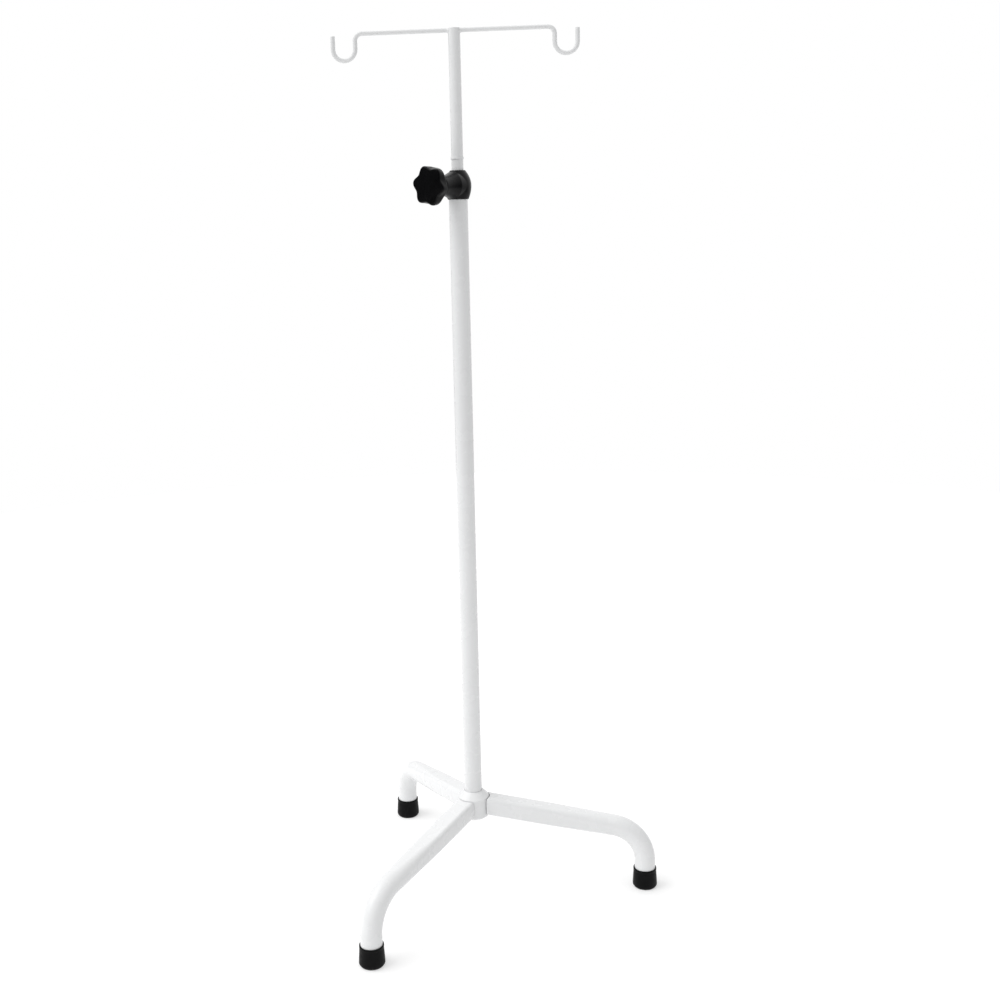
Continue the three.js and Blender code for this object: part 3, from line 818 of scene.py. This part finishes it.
def snap_ring():
    """The stop ring round the mast."""
    low, high = bottom("stop_ring"), top("stop_ring")
    corners = [(MAST + 0.1 * MM, low, 0.2 * MM), (MAST + 0.9 * MM, low, 0.3 * MM),
               (MAST + 0.9 * MM, high, 0.5 * MM), (MAST + 0.1 * MM, high, 0.2 * MM)]
    return turned(rounded(corners, loop=True), 72, loop=True)


def bush():
    """A nylon sleeve round the mast's foot, bevelled at both ends, that runs in the lower tube."""
    low, high = bottom("glide_bush"), top("glide_bush")
    bore = MAST + 0.15 * MM
    fit = TUBE_BORE - 0.15 * MM
    corners = [
        (bore, low, 0.3 * MM), (fit - 0.8 * MM, low, 0.3 * MM), (fit, low + 2 * MM, 0.5 * MM),
        (fit, high - 2 * MM, 0.5 * MM), (fit - 0.8 * MM, high, 0.3 * MM), (bore, high, 0.3 * MM)]
    return turned(rounded(corners, loop=True), 72, loop=True)


def mast_foot():
    """A flanged plug that closes the mast's lower end."""
    low, high = bottom("mast_end_plug"), top("mast_end_plug")
    flange = low + 3 * MM
    fit = MAST_BORE - 0.2 * MM
    return turned(rounded([
        (0, low, 0), (9.6 * MM, low, 0.6 * MM), (10 * MM, flange, 0.3 * MM), (fit, flange, 0),
        (fit, high, 0.8 * MM), (0, high, 0)]), 64)


def mast_head_plug():
    low, high = bottom("top_plug"), top("top_plug")
    fit = MAST_BORE - 0.2 * MM
    return turned(rounded([(0, low, 0), (fit, low, 0.3 * MM), (fit, high, 0.3 * MM), (0, high, 0)]), 64)


# ---------------------------------------------------------------- clamp

FROM_POLE = AT_POLE.inverted()
CLAMP_FROM_POLE = FROM_POLE @ AT_CLAMP
SCREW_FROM_POLE = Matrix.Translation((0, 0, -COLLAR_SCREW_DROP)) @ CLAMP_FROM_POLE


def collar_barrel():
    """A turned barrel, fullest at the knob's height."""
    outline = [(0, -COLLAR_BELOW)]
    steps = 24
    for i in range(steps + 1):
        t = i / steps * 2 - 1
        end = COLLAR_BOTTOM_RADIUS if t < 0 else COLLAR_TOP_RADIUS
        reach = COLLAR_BELOW if t < 0 else COLLAR_ABOVE
        outline.append((COLLAR_MIDDLE - (COLLAR_MIDDLE - end) * t * t, t * reach))
    outline.append((0, COLLAR_ABOVE))
    return moved(turned(outline, 96), Matrix.Translation((0, 0, CLAMP_CENTRE.z)))


def collar_boss():
    """The boss narrows in a hollow curve from the barrel to its straight end."""
    start = COLLAR_MIDDLE - 5 * MM
    steps = 14
    flare = []
    for i in range(steps + 1):
        t = i / steps
        flare.append((BOSS + (BOSS_FLARE - BOSS) * (1 - t) ** 2, start + (FLARE_END - start) * t, 0))
    profile = rounded([(0, 2 * MM, 0), (BOSS_FLARE, 2 * MM, 0), *flare, (BOSS, BOSS_END, 0.9 * MM),
                       (0, BOSS_END, 0)], steps=8)
    return moved(turned(profile, 96), CLAMP_FROM_POLE)


def collar():
    """Barrel and boss in one moulding, bored for the pole, the stud, the insert and the screw."""
    body = moulded(combined(collar_barrel(), "UNION", [collar_boss()]), 0.5 * MM, 6)
    cuts = [
        peg(TUBE + 0.2 * MM, CLAMP_CENTRE.z - COLLAR_BELOW - 1 * MM, top("outer_tube") + GAP, 96),
        peg(COLLAR_GUIDE, top("outer_tube") - 1 * MM, CLAMP_CENTRE.z + COLLAR_ABOVE + 1 * MM, 72),
        moved(peg(STUD_WAY, 5 * MM, BOSS_END + 1 * MM), CLAMP_FROM_POLE),
        moved(peg(INSERT + GAP, INSERT_START - GAP, BOSS_END + 1 * MM), CLAMP_FROM_POLE),
        moved(peg(COLLAR_SCREW + GAP, -30 * MM, -5 * MM), SCREW_FROM_POLE),
        moved(peg(COLLAR_SCREW_HEAD + GAP, -30 * MM, -COLLAR_SCREW_SEAT + GAP), SCREW_FROM_POLE),
    ]
    return combined(body, "DIFFERENCE", cuts)


def collar_screw():
    """A pan-head screw with a cross recess."""
    head = -COLLAR_SCREW_SEAT - COLLAR_SCREW_DOME
    tip = -TUBE_BORE - GAP
    profile = rounded([
        (0, head, 0), (COLLAR_SCREW_HEAD - 1.2 * MM, head, 1.2 * MM),
        (COLLAR_SCREW_HEAD, head + 0.7 * MM, 0.8 * MM), (COLLAR_SCREW_HEAD, -COLLAR_SCREW_SEAT, 0.2 * MM),
        (COLLAR_SCREW, -COLLAR_SCREW_SEAT, 0), (COLLAR_SCREW, tip, 0.4 * MM), (0, tip, 0)])
    slots = []
    for turn in (TURN / 8, -TURN / 8):
        slot = bmesh.new()
        place = Matrix.Translation((0, 0, head)) @ Matrix.Rotation(turn, 4, "Z")
        size = Matrix.Diagonal((*CROSS_RECESS, 1))
        bmesh.ops.create_cube(slot, size=1, matrix=place @ size)
        slots.append(slot)
    return combined(turned(profile, 48), "DIFFERENCE", slots)


def knurled_insert():
    low, high = INSERT_START, BOSS_END - 0.2 * MM
    mean = INSERT - KNURL_DEPTH

    def knurl(turn, height):
        return KNURL_DEPTH * math.cos(KNURLS * turn)

    corners = [(STUD + 0.4 * MM, low, 0.3 * MM), (mean, low, 0.4 * MM),
               (mean, high, 0.4 * MM), (STUD + 0.4 * MM, high, 0.3 * MM)]
    return turned(rounded(corners, loop=True), 180, loop=True, wave=knurl)


def clamp_pad():
    """The nylon tip on the stud's end, which presses on the mast."""
    return turned(rounded([
        (0, PAD_TIP, 0), (PAD, PAD_TIP, 0.6 * MM), (PAD, PAD_END, 0.2 * MM), (0, PAD_END, 0)]), 48)


def threaded_stud():
    """An M8 stud whose thread is a rounded helix."""
    low, high = PAD_END + GAP, KNOB_FACE - KNOB_SOCKET - GAP

    def thread(turn, height):
        near_end = min(height - low, high - height) / (1.2 * MM)
        phase = (height / THREAD_PITCH - turn / TURN) * TURN
        return THREAD_DEPTH / 2 * (math.cos(phase) - 1) * min(near_end, 1)

    rows = int((high - low) / (THREAD_PITCH / 8))
    profile = [(0, low)]
    for i in range(rows + 1):
        end_bevel = 0.5 * MM if i in (0, rows) else 0
        profile.append((STUD - end_bevel, low + (high - low) * i / rows))
    profile.append((0, high))
    return turned(profile, 40, wave=thread)


def smooth_step(value, low, high):
    """0 below low to 1 above high, easing in and out."""
    share = min(max((value - low) / (high - low), 0), 1)
    return share * share * (3 - 2 * share)


def knob():
    """Six lobes round a slightly domed face; their flutes run out towards the rim's back."""
    rim_back = KNOB_FACE - KNOB_RIM
    bore = STUD + GAP
    profile = rounded([
        (0, KNOB_FACE - KNOB_SOCKET, 0), (bore, KNOB_FACE - KNOB_SOCKET, 0), (bore, KNOB_BACK, 0.3 * MM),
        (KNOB_NECK - 0.6 * MM, KNOB_BACK, 0.9 * MM), (KNOB_NECK + 1 * MM, rim_back - 3 * MM, 6 * MM),
        (KNOB_NECK + 4.5 * MM, rim_back, 3 * MM), (KNOB_BACK_RADIUS, rim_back, 2.2 * MM),
        (KNOB_FACE_RADIUS, KNOB_FACE - 0.9 * MM, 2.4 * MM), (14 * MM, KNOB_FACE - 0.1 * MM, 8 * MM),
        (0, KNOB_FACE, 0)], steps=8)
    fine = []
    for here, there in zip(profile, profile[1:]):
        parts = max(int((there - here).length / KNOB_MESH), 1)
        fine += [here.lerp(there, k / parts) for k in range(parts)]
    fine.append(profile[-1])
    rings = []
    for radius, height in fine:
        lobe = LOBE_BACK + (LOBE - LOBE_BACK) * smooth_step(height, rim_back, KNOB_FACE - 2 * MM)
        lobe *= smooth_step(radius, KNOB_NECK + 1 * MM, 21 * MM)
        ring = []
        for i in range(KNOB_SIDES):
            turn = TURN * i / KNOB_SIDES
            reach = radius + lobe * math.cos(LOBES * (turn - LOBE_TURN))
            ring.append(Vector((reach * math.cos(turn), reach * math.sin(turn), height)))
        rings.append(ring)
    return skinned(rings)


piece("lower_tube", moved(lower_tube(), AT_POLE), "powder_coat", "base", ["outer_tube"])
piece("moulded_collar", moved(collar(), AT_POLE), "black_plastic", "base", ["clamp_collar"], crease=50)
piece("pan_screw", moved(collar_screw(), AT_POLE @ SCREW_FROM_POLE), "zinc_steel", "base", ["collar_screw"])
piece("knurled_insert", moved(knurled_insert(), AT_CLAMP), "brass_insert", "base", ["threaded_insert"])
piece("clamp_pad_tip", moved(clamp_pad(), AT_CLAMP), "nylon", "clamp_pad", ["pressure_pad"])
piece("m8_stud", moved(threaded_stud(), AT_CLAMP), "zinc_steel", "knob", ["knob_stud"])
piece("lobed_knob", moved(knob(), AT_CLAMP), "black_plastic", "knob", ["star_knob"])
piece("mast_bush", moved(bush(), AT_POLE), "nylon", "glide", ["glide_bush"])
piece("upper_tube", moved(upper_tube(), AT_POLE), "powder_coat", "mast", ["inner_tube"])
piece("mast_foot", moved(mast_foot(), AT_POLE), "black_plastic", "mast", ["mast_end_plug"])
piece("snap_ring", moved(snap_ring(), AT_POLE), "powder_coat", "mast", ["stop_ring"])
piece("mast_head_plug", moved(mast_head_plug(), AT_POLE), "powder_coat", "mast", ["top_plug"])

# ---------------------------------------------------------------- hook bar


def arc(centre_x, centre_z, radius, first, last, steps):
    """(point, direction) pairs round an arc in the X-Z plane."""
    sign = 1 if last > first else -1
    made = []
    for i in range(steps + 1):
        turn = first + (last - first) * i / steps
        point = Vector((centre_x + radius * math.cos(turn), 0, centre_z + radius * math.sin(turn)))
        made.append((point, sign * Vector((-math.sin(turn), 0, math.cos(turn)))))
    return made


def hook_path():
    """Half of the bar: from its middle along to the right, down, round the hook and up to the tip."""
    half = TURN / 2
    start = HOOK_BOTTOM + HOOK_RADIUS
    path = [(Vector((x * MM, 0, BAR_HEIGHT)), Vector((1, 0, 0))) for x in range(0, 121, 10)]
    path += arc(HOOK_INNER - HOOK_BEND, BAR_HEIGHT - HOOK_BEND, HOOK_BEND, half / 2, 0, 12)
    path += arc(HOOK_INNER + HOOK_RADIUS, start, HOOK_RADIUS, half, 2 * half, 32)
    outer = HOOK_INNER + 2 * HOOK_RADIUS
    path += [(Vector((outer, 0, start + (HOOK_TIP - start) * i / 4)), Vector((0, 0, 1))) for i in (1, 2, 3)]
    return path


def rod_ring(point, direction, radius):
    """A ring of points round a point of the rod, square to its direction."""
    side = Vector((0, 1, 0))
    up = direction.cross(side)
    turns = [TURN * i / ROD_SIDES for i in range(ROD_SIDES)]
    return [point + side * radius * math.cos(a) + up * radius * math.sin(a) for a in turns]


def hook_bar():
    """The whole rod: the right half with its rounded tip, and its mirror image."""
    path = hook_path()
    rings = [rod_ring(point, direction, ROD) for point, direction in path]
    tip = Vector((HOOK_INNER + 2 * HOOK_RADIUS, 0, HOOK_TIP))
    steps = 5
    for k in range(steps + 1):
        turn = TURN / 4 * k / steps
        point = tip - Vector((0, 0, ROD_TIP_EDGE * (1 - math.sin(turn))))
        rings.append(rod_ring(point, Vector((0, 0, 1)), ROD - ROD_TIP_EDGE * (1 - math.cos(turn))))
    mirrored = [[Vector((-p.x, p.y, p.z)) for p in ring] for ring in rings[:0:-1]]
    return skinned(mirrored + rings)


def weld(side):
    """The fillet weld between the rod and the tube's wall, ground flush at the top."""
    rings = []
    rows = 10
    for i in range(rows + 1):
        out = i / rows
        x = side * (WELD_START + WELD_LENGTH * out)
        swell = WELD_SWELL * (1 - out) ** 2
        ring = []
        for k in range(WELD_SIDES):
            turn = TURN * k / WELD_SIDES
            ripple = WELD_RIPPLE * math.sin(9 * turn + 2 * out) * (1 - out)
            reach = ROD + 0.02 * MM + (swell + ripple) * (1 if math.sin(turn) < 0 else 1 - math.sin(turn))
            ring.append(Vector((x, reach * math.cos(turn), BAR_HEIGHT + reach * math.sin(turn))))
        rings.append(ring)
    return skinned(rings)


piece("hook_rod", moved(hook_bar(), AT_POLE), "powder_coat", "mast", ["hook_bar"])
piece("weld_right", moved(weld(1), AT_POLE), "powder_coat", "mast", [])
piece("weld_left", moved(weld(-1), AT_POLE), "powder_coat", "mast", [])
